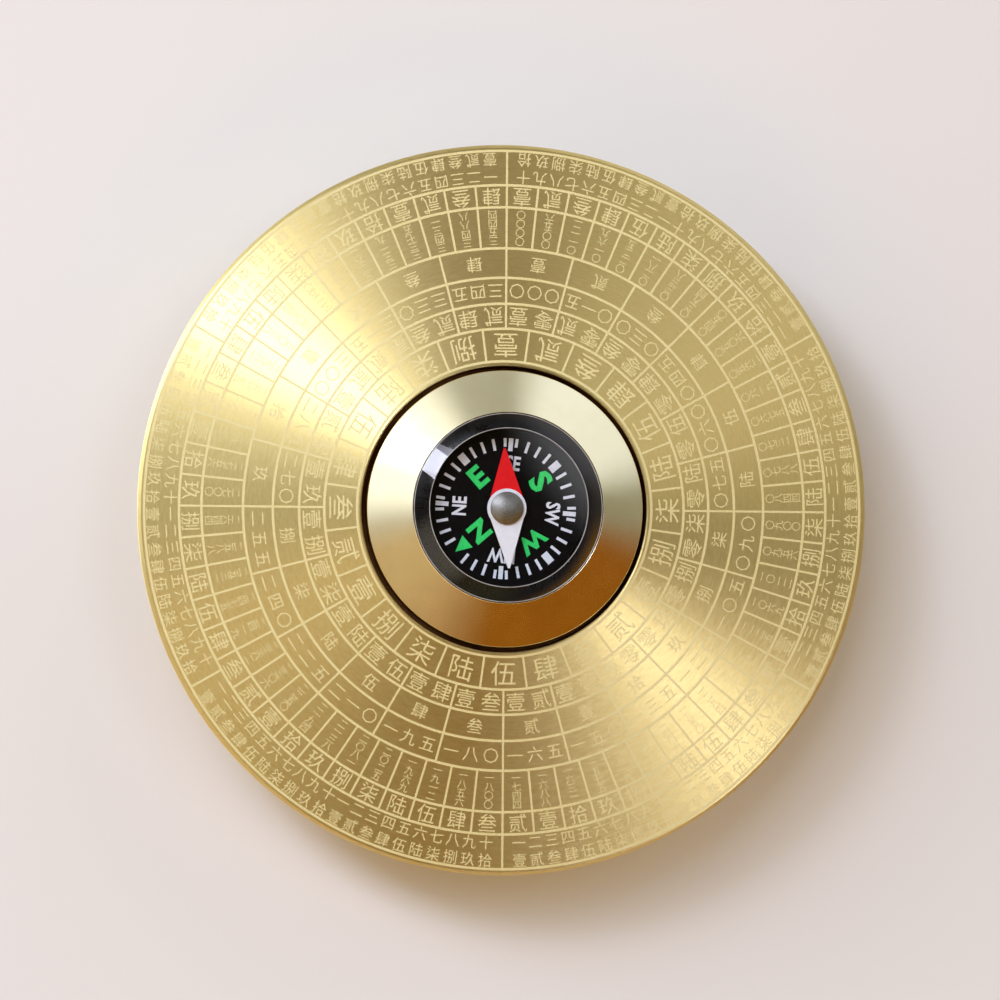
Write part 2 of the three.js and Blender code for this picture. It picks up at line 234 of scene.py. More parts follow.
# Studio: its tones, and where they fade into one another along x, y and z
COOL_LEFT = (0.64, 0.64, 0.67, 1)
COOL_RIGHT = (0.31, 0.3, 0.25, 1)
COOL_MIDDLE = (0.28, 0.19, 0.05, 1)
WARM_LEFT = (0.58, 0.44, 0.27, 1)
WARM_LOW = (0.28, 0.095, 0.008, 1)
WARM_MIDDLE = (2.0, 0.86, 0.01, 1)
ZENITH = (0.04, 0.026, 0.01, 1)
COOL_FADE = (-1, 1)
WARM_SIDE_FADE = (-0.75, -0.05)
WARM_FADE = (-0.35, 0.05)
MIDDLE_FADE = (0.46, 0.58)
ZENITH_FADE = (0.56, 0.71)

# Soft panels of the studio: azimuth, elevation, inner and outer reach in degrees, and colour
PANELS = (
    (46, 19, 16, 39, (0.64, 0.69, 0.88, 1)),
    (304, 18, 16, 40, (0.85, 0.875, 1.02, 1)),
    (316, 64, 6, 18, (1.6, 1.68, 2.0, 1)),
    (236, 54, 6, 20, (0.9, 0.81, 0.7, 1)),
    (262, 70, 4, 15, (0.45, 0.4, 0.34, 1)),
    (59.6, 70, 9.5, 12.8, (1.95, 2.06, 2.37, 1)),
    (332, 62, 4, 18, (0.9, 1.02, 1.34, 1)),
    (108, 60, 4, 16, (0.35, 0.35, 0.32, 1)),
    (194, 60, 6, 26, (0.22, 0.17, 0.02, 1)),
)

# Half the width of the floor
FLOOR_REACH = 3.0


def linear(red, green, blue):
    """A colour written in screen values from 0 to 255, as Blender's nodes want it."""
    values = [v / 255 for v in (red, green, blue)]
    curved = (v / 12.92 if v <= 0.04045 else ((v + 0.055) / 1.055) ** 2.4 for v in values)
    return (*curved, 1)


def facing(degrees):
    """The direction on the face at an angle clockwise from the top."""
    angle = math.radians(degrees)
    return Vector((math.sin(angle), math.cos(angle)))


# Shapes


def link(obj):
    bpy.context.scene.collection.objects.link(obj)
    return obj


def make_mesh(name, vertices, faces):
    """A mesh object with smooth shading, and sharp edges where its faces meet at a crease."""
    mesh = bpy.data.meshes.new(name)
    mesh.from_pydata([tuple(v) for v in vertices], [], faces)
    mesh.update()
    mesh.shade_smooth()
    mesh.set_sharp_from_angle(angle=CREASE)
    return link(bpy.data.objects.new(name, mesh))


def rounded(profile):
    """The profile with an arc at each corner that has a third number, the arc's radius."""
    points = []
    for i, corner in enumerate(profile):
        here = Vector(corner[:2])
        if len(corner) < 3:
            points.append(here)
            continue
        before = (Vector(profile[i - 1][:2]) - here).normalized()
        after = (Vector(profile[(i + 1) % len(profile)][:2]) - here).normalized()
        half = before.angle(after) / 2
        centre = here + (before + after).normalized() * corner[2] / math.sin(half)
        reach = corner[2] / math.tan(half)
        start = here + before * reach - centre
        end = here + after * reach - centre
        first = math.atan2(start.y, start.x)
        turn = (math.atan2(end.y, end.x) - first + math.pi) % (2 * math.pi) - math.pi
        for k in range(FILLET_STEPS + 1):
            angle = first + turn * k / FILLET_STEPS
            points.append(centre + corner[2] * Vector((math.cos(angle), math.sin(angle))))
    return points


def firmed(points, ring):
    """The points with one more near each end of a long straight part.

    They keep smooth shading from bending it.
    """
    firm = []
    for here, after in zip(points, points[1:] + points[:1] if ring else points[1:]):
        firm.append(here)
        along = after - here
        if along.length > LONG_PART:
            reach = along.normalized() * FIRM_REACH
            firm += [here + reach, after - reach]
    return firm if ring else firm + points[-1:]


def turned(name, profile, sides=TURNED_SIDES, ring=False, firm=True):
    """A body turned about Z from (radius, height) points, up the outside.

    A ring's profile closes on itself.
    """
    vertices, rows = [], []
    points = rounded(profile)
    for radius, height in firmed(points, ring) if firm else points:
        first = len(vertices)
        if radius < ON_AXIS:
            vertices.append((0, 0, height))
            rows.append([first] * sides)
            continue
        for k in range(sides):
            angle = 2 * math.pi * k / sides
            vertices.append((radius * math.cos(angle), radius * math.sin(angle), height))
        rows.append(list(range(first, first + sides)))
    faces = []
    for low, high in zip(rows, rows[1:] + rows[:1] if ring else rows[1:]):
        for k in range(sides):
            n = (k + 1) % sides
            corners = (low[k], low[n], high[n], high[k])
            face = [c for j, c in enumerate(corners) if c != corners[j - 1]]
            if len(face) > 2:
                faces.append(face)
    return make_mesh(name, vertices, faces)


def arc(centre, radius, start, end, steps=ARC_STEPS):
    """Points on an arc about (radius, height), with angles from the outward direction."""
    angles = [start + (end - start) * k / steps for k in range(steps + 1)]
    return [(centre[0] + radius * math.cos(a), centre[1] + radius * math.sin(a)) for a in angles]


def plate(outline, holes, low, high):
    """Vertices and faces of a flat plate.

    Its outline runs counter-clockwise and its holes clockwise.
    """
    loops = [outline, *holes]
    flat = [Vector((x, y, 0)) for loop in loops for x, y in loop]
    count = len(flat)
    vertices = [(p.x, p.y, low) for p in flat] + [(p.x, p.y, high) for p in flat]
    faces = []
    for a, b, c in tessellate_polygon([[Vector((x, y, 0)) for x, y in loop] for loop in loops]):
        if (flat[b] - flat[a]).cross(flat[c] - flat[a]).z < 0:
            b, c = c, b
        faces += [(a + count, b + count, c + count), (a, c, b)]
    first = 0
    for loop in loops:
        for k in range(len(loop)):
            here, after = first + k, first + (k + 1) % len(loop)
            faces.append((here, after, after + count, here + count))
        first += len(loop)
    return vertices, faces


def drawn(text, bold):
    """Points and faces of a text in the built-in font, as a closed plate one em high."""
    curve = bpy.data.curves.new("glyph", "FONT")
    curve.body = text
    curve.resolution_u = GLYPH_STEPS
    curve.extrude = GLYPH_HALF
    curve.offset = bold
    curve.align_x = "CENTER"
    curve.align_y = "CENTER"
    sample = link(bpy.data.objects.new("glyph", curve))
    bpy.context.view_layer.update()
    graph = bpy.context.evaluated_depsgraph_get()
    mesh = bpy.data.meshes.new_from_object(sample.evaluated_get(graph))
    work = bmesh.new()
    work.from_mesh(mesh)
    bmesh.ops.remove_doubles(work, verts=work.verts, dist=GLYPH_WELD)
    work.verts.index_update()
    points = [v.co.copy() for v in work.verts]
    faces = [[v.index for v in f.verts] for f in work.faces]
    work.free()
    bpy.data.objects.remove(sample)
    bpy.data.curves.remove(curve)
    bpy.data.meshes.remove(mesh)
    return points, faces


glyph_store = {}


def glyph(text, bold):
    """A text's points and faces, with its underside at 0 and its middle on the axis."""
    if (text, bold) not in glyph_store:
        points, faces = drawn(text, bold)
        middle = Vector((0, GLYPH_MIDDLE, -GLYPH_HALF))
        if text.isascii():
            xs, ys = [p.x for p in points], [p.y for p in points]
            middle = Vector(((min(xs) + max(xs)) / 2, (min(ys) + max(ys)) / 2, -GLYPH_HALF))
        glyph_store[text, bold] = [p - middle for p in points], faces
    return glyph_store[text, bold]


class Plates:
    """Closed flat plates between two heights, gathered into one mesh.

    Angles run clockwise from the top.
    """

    def __init__(self, low, high, turn=0.0):
        self.low, self.high, self.turn = low, high, turn
        self.vertices, self.faces = [], []

    def gather(self, vertices, faces):
        first = len(self.vertices)
        self.vertices += vertices
        self.faces += [[first + i for i in face] for face in faces]

    def outline(self, points, degrees):
        """A plate from (across, radius) points, counter-clockwise with the radius up."""
        out = facing(degrees + self.turn)
        side = Vector((out.y, -out.x))
        corners = [side * across + out * radius for across, radius in points]
        self.gather(*plate([(c.x, c.y) for c in corners], [], self.low, self.high))

    def bar(self, inner, outer, degrees, width):
        half = width / 2
        self.outline([(-half, inner), (half, inner), (half, outer), (-half, outer)], degrees)

    def ring(self, radius, width):
        ways = [facing(-360 * k / TURNED_SIDES) for k in range(TURNED_SIDES)]
        outside = [tuple(way * (radius + width / 2)) for way in ways]
        inside = [tuple(way * (radius - width / 2)) for way in ways]
        self.gather(*plate(outside, [inside[::-1]], self.low, self.high))

    def write(self, text, radius, degrees, em, outward=False, width=1.0, bold=0.0):
        """Text whose top points to the middle, or outward."""
        points, faces = glyph(text, bold)
        out = facing(degrees + self.turn)
        up = out if outward else -out
        right = Vector((up.y, -up.x))
        thick = self.high - self.low
        vertices = []
        for p in points:
            spot = out * radius + right * p.x * em * width + up * p.y * em
            vertices.append((spot.x, spot.y, self.low + p.z * thick))
        self.gather(vertices, faces)

    def make(self, name):
        return make_mesh(name, self.vertices, self.faces)


# Materials


class Tree:
    """Short ways to add and join the nodes of one tree."""

    def __init__(self, tree):
        self.tree = tree

    def set(self, node, socket, value):
        target = node.inputs[socket]
        if isinstance(value, bpy.types.NodeSocket):
            self.tree.links.new(value, target)
        else:
            target.default_value = value

    def add(self, kind, inputs=None, **settings):
        node = self.tree.nodes.new(kind)
        for key, value in settings.items():
            setattr(node, key, value)
        for key, value in (inputs or {}).items():
            self.set(node, key, value)
        return node

    def math(self, operation, a, b):
        return self.add("ShaderNodeMath", {0: a, 1: b}, operation=operation).outputs[0]

    def vector(self, operation, *values):
        inputs = dict(enumerate(values))
        return self.add("ShaderNodeVectorMath", inputs, operation=operation).outputs["Vector"]

    def spread(self, value, low, high, start=0.3, end=0.7, kind="LINEAR"):
        """Maps start and end, by default the usual reach of a noise, to low and high."""
        inputs = {"Value": value, "From Min": start, "From Max": end, "To Min": low, "To Max": high}
        return self.add("ShaderNodeMapRange", inputs, interpolation_type=kind).outputs[0]

    def mix(self, factor, first, second, blend="MIX"):
        inputs = {0: factor, 6: first, 7: second}
        return self.add("ShaderNodeMix", inputs, data_type="RGBA", blend_type=blend).outputs[2]

    def noise(self, vector, scale, detail=3.0, roughness=0.6):
        inputs = {"Vector": vector, "Scale": scale, "Detail": detail, "Roughness": roughness}
        return self.add("ShaderNodeTexNoise", inputs).outputs["Fac"]


class Finish(Tree):
    """A new material round one Principled shader."""

    def __init__(self, name, colour, roughness, metallic=0.0, shine=0.5):
        self.material = bpy.data.materials.new(name)
        self.material.use_nodes = True
        super().__init__(self.material.node_tree)
        self.shader = self.tree.nodes["Principled BSDF"]
        self.output = self.tree.nodes["Material Output"]
        self.set(self.shader, "Base Color", colour)
        self.set(self.shader, "Roughness", roughness)
        self.set(self.shader, "Metallic", metallic)
        self.set(self.shader, "Specular IOR Level", shine)

    def place(self):
        return self.add("ShaderNodeTexCoord").outputs["Object"]

    def turning_place(self, across, along):
        """Coordinates that change quickly with the radius and slowly round the axis."""
        x, y, z = self.add("ShaderNodeSeparateXYZ", {0: self.place()}).outputs
        squares = self.math("ADD", self.math("MULTIPLY", x, x), self.math("MULTIPLY", y, y))
        radius = self.math("SQRT", squares, 0.0)
        share = self.math("DIVIDE", along, self.math("MAXIMUM", radius, LEAST_RADIUS))
        depth = self.math("MULTIPLY", self.math("SUBTRACT", radius, z), across)
        inputs = {0: self.math("MULTIPLY", x, share), 1: self.math("MULTIPLY", y, share), 2: depth}
        return self.add("ShaderNodeCombineXYZ", inputs).outputs[0]

    def leaning(self, lean):
        """The surface's own direction, turned a little away from the axis."""
        flat = self.vector("MULTIPLY", self.place(), (1, 1, 0))
        away = self.add(
            "ShaderNodeVectorTransform",
            {0: self.vector("NORMALIZE", flat)},
            convert_from="OBJECT",
            convert_to="WORLD",
        ).outputs[0]
        straight = self.add("ShaderNodeNewGeometry").outputs["Normal"]
        leant = self.vector("MULTIPLY_ADD", away, (lean, lean, lean), straight)
        return self.vector("NORMALIZE", leant)

    def bump(self, height, strength, distance, straight=None):
        inputs = {"Height": height, "Strength": strength, "Distance": distance}
        if straight:
            inputs["Normal"] = straight
        self.set(self.shader, "Normal", self.add("ShaderNodeBump", inputs).outputs["Normal"])

    def colours(self, factor, first, second):
        self.set(self.shader, "Base Color", self.mix(self.spread(factor, 0, 1), first, second))

    def roughen(self, factor, low, high):
        self.set(self.shader, "Roughness", self.spread(factor, low, high))

    def fan_out(self):
        """Draws each reflection out across the lathe rings."""
        tangent = self.add("ShaderNodeTangent", direction_type="RADIAL", axis="Z").outputs[0]
        self.set(self.shader, "Tangent", tangent)
        self.set(self.shader, "Anisotropic", 1.0)
        self.set(self.shader, "Anisotropic Rotation", RING_TWIST)


def turned_brass():
    """Lathe-turned brass, with streaks round the axis and fine rings that fan the light out."""
    m = Finish("turned_brass", linear(238, 216, 143), roughness=0.5, metallic=1.0)
    rings = m.noise(m.turning_place(across=9000, along=1.5), 1.0, detail=2.0, roughness=0.7)
    streaks = m.noise(m.turning_place(across=5200, along=24), 1.0, detail=4.0, roughness=0.65)
    m.colours(streaks, linear(231, 208, 133), linear(245, 225, 152))
    m.roughen(streaks, 0.41, 0.49)
    m.fan_out()
    m.bump(rings, 0.12, 0.004 * MM, m.leaning(RING_LEAN))
    return m.material


def polished_brass():
    """Bright brass with faint turning rings and a slight haze."""
    m = Finish("polished_brass", linear(240, 231, 190), roughness=0.15, metallic=1.0)
    rings = m.noise(m.turning_place(across=7000, along=1), 1.0, detail=2.0)
    haze = m.noise(m.place(), 260.0)
    m.colours(haze, linear(237, 227, 184), linear(243, 235, 196))
    m.roughen(haze, 0.14, 0.19)
    m.bump(rings, 0.05, 0.003 * MM)
    return m.material


def laser_marking():
    """The pale frosted skin that a laser leaves on brass, over its lathe rings."""
    m = Finish("laser_marking", linear(234, 220, 154), roughness=0.5, metallic=0.05)
    grain = m.noise(m.place(), 16000.0, detail=2.0, roughness=0.7)
    cloud = m.noise(m.place(), 700.0, detail=2.0, roughness=0.5)
    tone = m.math("ADD", m.math("MULTIPLY", grain, 0.6), m.math("MULTIPLY", cloud, 0.4))
    m.colours(tone, linear(227, 212, 142), linear(239, 227, 163))
    m.roughen(grain, 0.46, 0.56)
    m.fan_out()
    m.bump(grain, 0.25, 0.006 * MM, m.leaning(RING_LEAN))
    return m.material


def dulled_brass():
    """Brass inside the running gap, painted a darker brown that stands for the shade between the
    walls.
    """
    # Painted shade: the dark brown tones stand for the shadow in the running gap
    m = Finish("dulled_brass", linear(122, 76, 34), roughness=0.5, metallic=0.6, shine=0.2)
    rings = m.noise(m.turning_place(across=7000, along=2), 1.0, detail=2.0)
    cloud = m.noise(m.place(), 500.0)
    m.colours(cloud, linear(108, 64, 26), linear(138, 90, 42))
    m.roughen(rings, 0.4, 0.6)
    m.bump(rings, 0.1, 0.004 * MM)
    return m.material


def coated(name, dark, light, rough, scale=900.0, shine=0.5):
    """Moulded plastic, card or paint, with a slow change of tone and a fine grain."""
    m = Finish(name, light, rough[1], shine=shine)
    cloud = m.noise(m.place(), scale)
    grain = m.noise(m.place(), scale * 9, detail=2.0)
    m.colours(cloud, dark, light)
    m.roughen(grain, *rough)
    m.bump(grain, 0.15, 0.002 * MM)
    return m.material


def steel(name, dark, light, rough):
    """Ground steel or aluminium, with fine rings about the axis."""
    m = Finish(name, light, rough[1], metallic=1.0)
    rings = m.noise(m.turning_place(across=12000, along=2), 1.0)
    m.colours(rings, dark, light)
    m.roughen(rings, *rough)
    m.bump(rings, 0.1, 0.002 * MM)
    return m.material


def clear_cover():
    """Thin clear acrylic: what lies under it shows, and its outer skin mirrors the lights."""
    m = Finish("clear_cover", linear(250, 251, 252), roughness=0.03)
    m.tree.nodes.remove(m.shader)
    haze = m.spread(m.noise(m.place(), 500.0), 0.01, 0.04)
    gloss = m.add("ShaderNodeBsdfAnisotropic", {"Color": COVER_TINT, "Roughness": haze})
    through = m.add("ShaderNodeBsdfTransparent", {"Color": linear(252, 253, 253)})
    fresnel = m.add("ShaderNodeFresnel", {"IOR": COVER_IOR}).outputs[0]
    inside = m.add("ShaderNodeNewGeometry").outputs["Backfacing"]
    shine = m.math("MULTIPLY", fresnel, m.math("SUBTRACT", 1.0, inside))
    cover = m.add("ShaderNodeMixShader", {0: shine, 1: through.outputs[0], 2: gloss.outputs[0]})
    m.set(m.output, "Surface", cover.outputs[0])
    return m.material


BRASS = turned_brass()
POLISH = polished_brass()
MARKING = laser_marking()
# Darker brown brass that paints the shade inside the running gap
GAP_SHADE_BRASS = dulled_brass()
CLEAR = clear_cover()
# Painted highlight: a pale grey that stands for the bright lines of light along the lens's edges
LENS_GLINT = coated("lens_edge_glint", linear(150, 148, 140), linear(190, 188, 182), (0.15, 0.3))
BLACK = coated("gloss_black", linear(8, 8, 8), linear(15, 15, 16), (0.12, 0.22), shine=0.3)
CARD = coated("dial_black", linear(7, 7, 8), linear(13, 13, 14), (0.5, 0.65), shine=0.05)
PRINT_WHITE = coated(
    "print_white",
    linear(240, 242, 246),
    linear(251, 252, 254),
    (0.5, 0.6),
    scale=3000.0,
    shine=0.1,
)
PRINT_GREEN = coated(
    "print_green",
    linear(52, 226, 106),
    linear(70, 242, 124),
    (0.45, 0.55),
    scale=3000.0,
    shine=0.1,
)
RED_PAINT = coated(
    "needle_red",
    linear(236, 12, 18),
    linear(250, 20, 26),
    (0.3, 0.4),
    scale=2500.0,
    shine=0.2,
)
WHITE_PAINT = coated(
    "needle_white",
    linear(244, 244, 247),
    linear(253, 253, 254),
    (0.3, 0.4),
    scale=2500.0,
    shine=0.2,
)
HUB_METAL = steel("hub_metal", linear(124, 121, 112), linear(160, 156, 146), (0.38, 0.5))
STEEL = steel("ground_steel", linear(184, 187, 190), linear(206, 208, 210), (0.18, 0.3))
BALL = steel("bright_steel", linear(206, 208, 211), linear(222, 223, 226), (0.05, 0.09))
PIN = steel("drawn_steel", linear(170, 170, 170), linear(196, 196, 196), (0.2, 0.3))
NYLON = coated("nylon", linear(208, 198, 168), linear(224, 215, 190), (0.4, 0.55))
ADHESIVE = coated("adhesive_film", linear(206, 198, 178), linear(222, 215, 198), (0.6, 0.8))


def place_piece(obj, material, body, slot, *nodes):
    """Gives a piece its material, the body it rides on and the solids it stands for. The slot is
    not used.
    """
    obj.data.materials.append(material)
    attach(obj, body)
    if nodes:
        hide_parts(*nodes)


def dull(body, wall):
    """Gives the faces of a body that lie inside the running gap, out to its wall, the darker brass
    that paints the shade there.
    """
    body.data.materials.append(GAP_SHADE_BRASS)
    for face in body.data.polygons:
        radius, height = face.center.xy.length, face.center.z
        in_gap = OUTER_HIGH.x < radius < wall + GAP_REACH
        if in_gap and OUTER_HIGH.z < height < FACE - GAP_REACH:
            face.material_index = 1


# Turned pieces, with softened edges


def make_disc():
    bore = TOP_HIGH.x + CAP_GAP
    pocket = OUTER_HIGH.x + SEAT_CLEARANCE
    lip = OUTER_HIGH.x - BEARING_LIP_OVERLAP
    floor = OUTER_HIGH.z + BEARING_LIP
    rim = DISC_HIGH.x
    back = DISC_LOW.z
    profile = [
        (pocket, back, DISC_EDGE),
        (HUB_RADIUS - HUB_CHAMFER, back, DISC_EDGE),
        (HUB_RADIUS, back + HUB_CHAMFER, DISC_EDGE),
        (rim - BACK_CHAMFER, FACE - RIM_THICKNESS, DISC_EDGE),
        (rim, FACE - RIM_THICKNESS + BACK_CHAMFER, DISC_EDGE),
        (rim, FACE - FACE_CHAMFER, DISC_EDGE),
        (rim - FACE_CHAMFER, FACE, DISC_EDGE),
        (bore + BORE_CHAMFER, FACE, DISC_EDGE / 2),
        (bore, FACE - BORE_CHAMFER, DISC_EDGE / 2),
        (bore, floor, DISC_EDGE),
        (lip, floor, DISC_EDGE / 2),
        (lip, OUTER_HIGH.z),
        (pocket, OUTER_HIGH.z),
    ]
    body = turned("disc_body", profile, ring=True)
    place_piece(body, BRASS, "spinner", "turned_brass", "disc")
    # Painted shade on the disc's faces inside the running gap
    dull(body, bore)


def make_top_cap():
    recess = LENS_HIGH.x + SEAT_CLEARANCE
    base = FACE - CAP_SUNK
    bore = STUD_RADIUS + SEAT_CLEARANCE
    stem = BEARING_BORE - SEAT_CLEARANCE
    gap_between_stems = TOP_LOW.z - (BOTTOM_HIGH.z - STUD_LENGTH)
    bore_top = BOTTOM_HIGH.z + gap_between_stems
    profile = [
        (0, bore_top),
        (bore, bore_top),
        (bore, TOP_LOW.z),
        (stem, TOP_LOW.z, CAP_EDGE / 2),
        (stem, OUTER_HIGH.z),
        (SHOULDER, OUTER_HIGH.z),
        (SHOULDER, base),
        (TOP_HIGH.x, base, CAP_EDGE),
        (TOP_HIGH.x, FACE + CAP_RIM_PROUD, CAP_EDGE),
        (recess, TOP_HIGH.z, CAP_EDGE / 4),
        (recess, PAD_LOW.z),
        (0, PAD_LOW.z),
    ]
    body = turned("top_cap_body", profile)
    place_piece(body, POLISH, "hub", "polished_brass", "top_cap")
    # Painted shade on the cap's faces inside the running gap
    dull(body, TOP_HIGH.x)


def make_bottom_cap():
    stem = BEARING_BORE - SEAT_CLEARANCE
    stem_end = BOTTOM_HIGH.z - STUD_LENGTH
    curve = (DISH_RADIUS**2 + DISH_DEPTH**2) / (2 * DISH_DEPTH)
    edge = math.acos(DISH_RADIUS / curve)
    dish = arc((0, DISH_DEPTH - curve), curve, math.pi / 2, edge)
    profile = [
        (0, DISH_DEPTH),
        *dish[1:-1],
        (DISH_RADIUS, 0, CAP_EDGE),
        (BASE_RADIUS, 0, CAP_EDGE),
        (BOTTOM_HIGH.x, BASE_BEVEL_HEIGHT, CAP_EDGE),
        (BOTTOM_HIGH.x, CAP_FLANGE, CAP_EDGE),
        (SHOULDER, CAP_FLANGE),
        (SHOULDER, OUTER_LOW.z),
        (stem, OUTER_LOW.z),
        (stem, stem_end, CAP_EDGE / 2),
        (STUD_RADIUS, stem_end),
        (STUD_RADIUS, BOTTOM_HIGH.z - STUD_CHAMFER),
        (STUD_RADIUS - STUD_CHAMFER, BOTTOM_HIGH.z),
        (0, BOTTOM_HIGH.z),
    ]
    body = turned("bottom_cap_body", profile)
    place_piece(body, POLISH, "hub", "polished_brass", "bottom_cap")


def groove(land, side):
    """A race's ball groove as an arc, upward on the outer race and downward on the inner one."""
    middle = (OUTER_LOW.z + OUTER_HIGH.z) / 2
    end = math.acos(abs(land - PITCH_RADIUS) / GROOVE_RADIUS)
    if side == "outer":
        return arc((PITCH_RADIUS, middle), GROOVE_RADIUS, end, -end)
    return arc((PITCH_RADIUS, middle), GROOVE_RADIUS, math.pi + end, math.pi - end)


def make_inner_race():
    low, high = INNER_LOW.z, INNER_HIGH.z
    land = PITCH_RADIUS - BALL_RADIUS + GROOVE_DEPTH
    profile = [
        (BEARING_BORE, low + RACE_CHAMFER),
        (BEARING_BORE + RACE_CHAMFER, low),
        (land, low),
        *groove(land, "inner"),
        (land, high),
        (BEARING_BORE + RACE_CHAMFER, high),
        (BEARING_BORE, high - RACE_CHAMFER),
    ]
    race = turned("inner_race", profile, RACE_SIDES, ring=True)
    place_piece(race, STEEL, "hub", "bearing_steel", "bearing_inner_race")


def make_outer_race():
    low, high = OUTER_LOW.z, OUTER_HIGH.z
    land = PITCH_RADIUS + BALL_RADIUS - GROOVE_DEPTH
    outside = OUTER_HIGH.x
    profile = [
        (land + SHIELD_SEAT, low),
        (outside - RACE_CHAMFER, low),
        (outside, low + RACE_CHAMFER),
        (outside, high - RACE_CHAMFER),
        (outside - RACE_CHAMFER, high),
        (land + SHIELD_SEAT, high),
        (land + SHIELD_SEAT, high - SHIELD_LEDGE),
        (land, high - SHIELD_LEDGE),
        *groove(land, "outer"),
        (land, low + SHIELD_LEDGE),
        (land + SHIELD_SEAT, low + SHIELD_LEDGE),
    ]
    race = turned("outer_race", profile, RACE_SIDES, ring=True)
    place_piece(race, STEEL, "spinner", "bearing_steel", "bearing_outer_race")


def make_balls():
    half = arc((0, 0), BALL_RADIUS, -math.pi / 2, math.pi / 2)
    half = [(0, -BALL_RADIUS), *half[1:-1], (0, BALL_RADIUS)]
    for i in range(BALL_COUNT):
        node = f"bearing_ball_{i + 1}"
        low_corner, high_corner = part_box(node)
        ball = turned(f"ball_{i + 1}", half, BALL_SIDES)
        ball.data.transform(Matrix.Translation((low_corner + high_corner) / 2))
        place_piece(ball, BALL, "ball_set", "ball_steel", node)


def make_cup():
    chamber = CUP_HIGH.x - CAPSULE_WALL
    seat = PIN_HIGH.x + SEAT_CLEARANCE
    profile = [
        (0, CUP_LOW.z),
        (CUP_HIGH.x, CUP_LOW.z, CAP_EDGE),
        (CUP_HIGH.x, CUP_HIGH.z, CAP_EDGE / 4),
        (chamber, CUP_HIGH.z, CAP_EDGE / 4),
        (chamber, DIAL_LOW.z),
        (seat, DIAL_LOW.z),
        (seat, PIN_LOW.z),
        (0, PIN_LOW.z),
    ]
    body = turned("capsule_body", profile)
    place_piece(body, BLACK, "hub", "black_plastic", "capsule_cup")


def make_lens():
    spigot = CUP_HIGH.x - CAPSULE_WALL - SEAT_CLEARANCE
    profile = [
        (0, LENS_LOW.z),
        (spigot, LENS_LOW.z),
        (spigot, CUP_HIGH.z),
        (LENS_HIGH.x, CUP_HIGH.z),
        (LENS_HIGH.x, TOP_HIGH.z, CAP_EDGE / 2),
        (LENS_FLAT_RADIUS, LENS_HIGH.z, CAP_EDGE),
        (0, LENS_HIGH.z),
    ]
    cover = turned("lens_cover", profile, firm=False)
    place_piece(cover, CLEAR, "hub", "clear_plastic", "capsule_lens")
    # Thin pale rings at the lens's two edges paint the bright lines of light there
    edges = (
        ("lens_glint_inner", LENS_FLAT_RADIUS, LENS_HIGH.z - LENS_EDGE),
        ("lens_glint_outer", LENS_HIGH.x - LENS_EDGE, TOP_HIGH.z - LENS_EDGE),
    )
    for name, radius, height in edges:
        section = arc((radius, height), LENS_EDGE, 2 * math.pi, 0, ARC_STEPS // 2)[:-1]
        place_piece(turned(name, section, ring=True), LENS_GLINT, "hub", "clear_plastic")


def make_blade():
    """The blade, red towards the top and white on the other half and round the collar."""
    slant = NEEDLE_REACH * math.sin(NEEDLE_WEDGE) + NEEDLE_TIP_HALF * math.cos(NEEDLE_WEDGE)
    join = NEEDLE_WEDGE + math.acos(slant / NEEDLE_COLLAR)
    tip = NEEDLE_TIP_HALF
    over = arc((0, 0), NEEDLE_COLLAR, join, math.pi - join)
    left = arc((0, 0), NEEDLE_COLLAR, math.pi - join, math.pi + join, ARC_STEPS // 2)
    right = arc((0, 0), NEEDLE_COLLAR, -join, join, ARC_STEPS // 2)
    hole = arc((0, 0), NEEDLE_HOLE, 2 * math.pi, 0)[:-1]
    white = [*over, *left[1:], (-tip, -NEEDLE_REACH), (tip, -NEEDLE_REACH), *right[:-1]]
    red = [(tip, NEEDLE_REACH), (-tip, NEEDLE_REACH), *over[::-1]]
    vertices, faces = plate(white, [hole], BLADE_LOW.z, BLADE_HIGH.z)
    first, white_count = len(vertices), len(faces)
    red_vertices, red_faces = plate(red, [], BLADE_LOW.z, BLADE_HIGH.z)
    faces += [[first + i for i in face] for face in red_faces]
    blade = make_mesh("needle_plate", vertices + red_vertices, faces)
    blade.data.transform(Matrix.Rotation(NEEDLE_TURN, 4, "Z"))
    place_piece(blade, WHITE_PAINT, "needle", "needle_paint", "needle_blade")
    blade.data.materials.append(RED_PAINT)
    for face in blade.data.polygons[white_count:]:
        face.material_index = 1


def make_needle_cap():
    radius = HUB_HIGH.x
    curve = (radius**2 + NEEDLE_CAP_DOME**2) / (2 * NEEDLE_CAP_DOME)
    dome = arc((0, HUB_HIGH.z - curve), curve, math.acos(radius / curve), math.pi / 2)
    mouth = PIN_HIGH.x + PIVOT_GAP
    stem = NEEDLE_HOLE - SEAT_CLEARANCE
    profile = [
        (0, PIN_HIGH.z + PIVOT_GAP),
        (mouth, PIN_HIGH.z + PIVOT_GAP - PIN_TIP_LENGTH),
        (mouth, HUB_LOW.z),
        (stem, HUB_LOW.z),
        (stem, BLADE_HIGH.z),
        (radius, BLADE_HIGH.z),
        (radius, BLADE_HIGH.z + NEEDLE_CAP_SIDE, CAP_EDGE / 2),
        *dome[1:-1],
        (0, HUB_HIGH.z),
    ]
    body = turned("needle_hub", profile, RACE_SIDES)
    place_piece(body, HUB_METAL, "needle", "needle_metal", "needle_cap")


# Marks on the disc: plain counting numerals in rings, with their tops towards the middle


def band_middle(band):
    return (RING_RADII[band] + RING_RADII[band + 1]) / 2


def draw_lines(lines):
    """The rings, and between them the dividers of each band's cells."""
    for radius in RING_RADII:
        lines.ring(radius, LINE_WIDTH)
    for band, count in enumerate(BAND_CELLS):
        outer = RING_RADII[band] - LINE_WIDTH / 2
        inner = RING_RADII[band + 1] + LINE_WIDTH / 2
        shift = 0.5 if band == LARGE_BAND else 0
        for k in range(count):
            lines.bar(inner, outer, 360 / count * (k + shift), DIVIDER_WIDTH)


